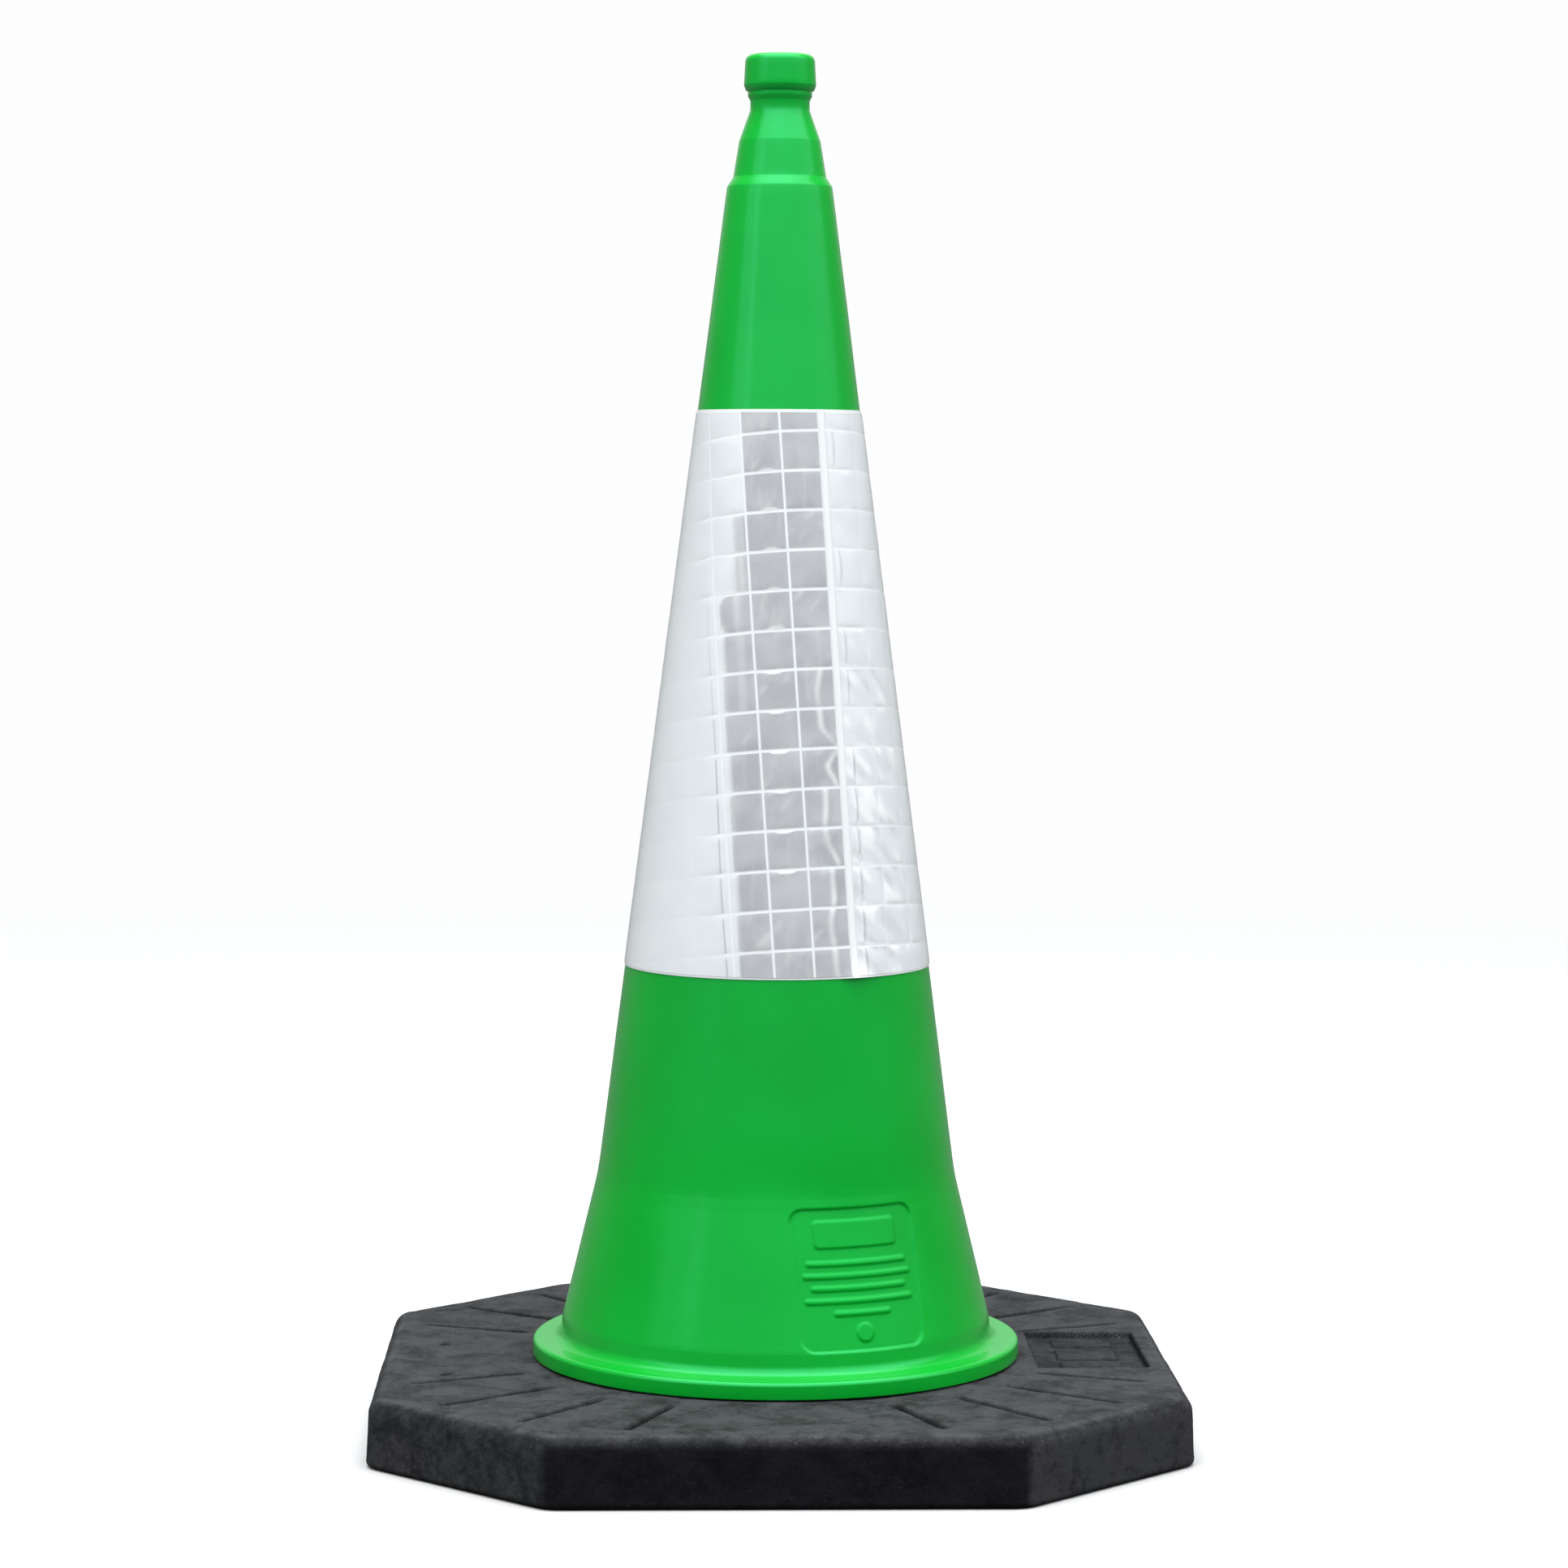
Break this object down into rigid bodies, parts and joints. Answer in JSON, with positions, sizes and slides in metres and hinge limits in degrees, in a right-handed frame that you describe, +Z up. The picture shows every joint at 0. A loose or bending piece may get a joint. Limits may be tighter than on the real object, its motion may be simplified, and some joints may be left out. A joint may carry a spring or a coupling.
{
  "type": "traffic cone",
  "caption": "Tall hollow road cone with a flanged foot locked into a heavy octagonal base and a pull-on reflective sleeve.",
  "frame": {"origin": "on the ground, under the middle of the base", "axes": "+Z up along the cone's axis; the base's flats face +X, -X, +Y and -Y, and the moulded nameplate faces -Y and a little +X"},
  "size_m": [0.5846, 0.5846, 1],
  "materials": {
    "green_shell": "semi-gloss moulded polyethylene, self-coloured green",
    "recycled_base": "matt recycled PVC, dusty charcoal",
    "white_film": "glossy white PVC film",
    "prismatic_film": "clear glossy prismatic film, welded in a square grid"
  },
  "bodies": {
    "root": {"cone_body": "green_shell", "ballast_base": "recycled_base"},
    "sleeve": {"sleeve_left_backing": "white_film", "sleeve_left_facing": "prismatic_film", "sleeve_right_backing": "white_film", "sleeve_right_facing": "prismatic_film"}
  },
  "joints": [
    {"name": "sleeve_lift", "type": "slide", "parent": "root", "child": "sleeve", "axis": [0, 0, 1], "range_m": [0, 0.68]}
  ]
}
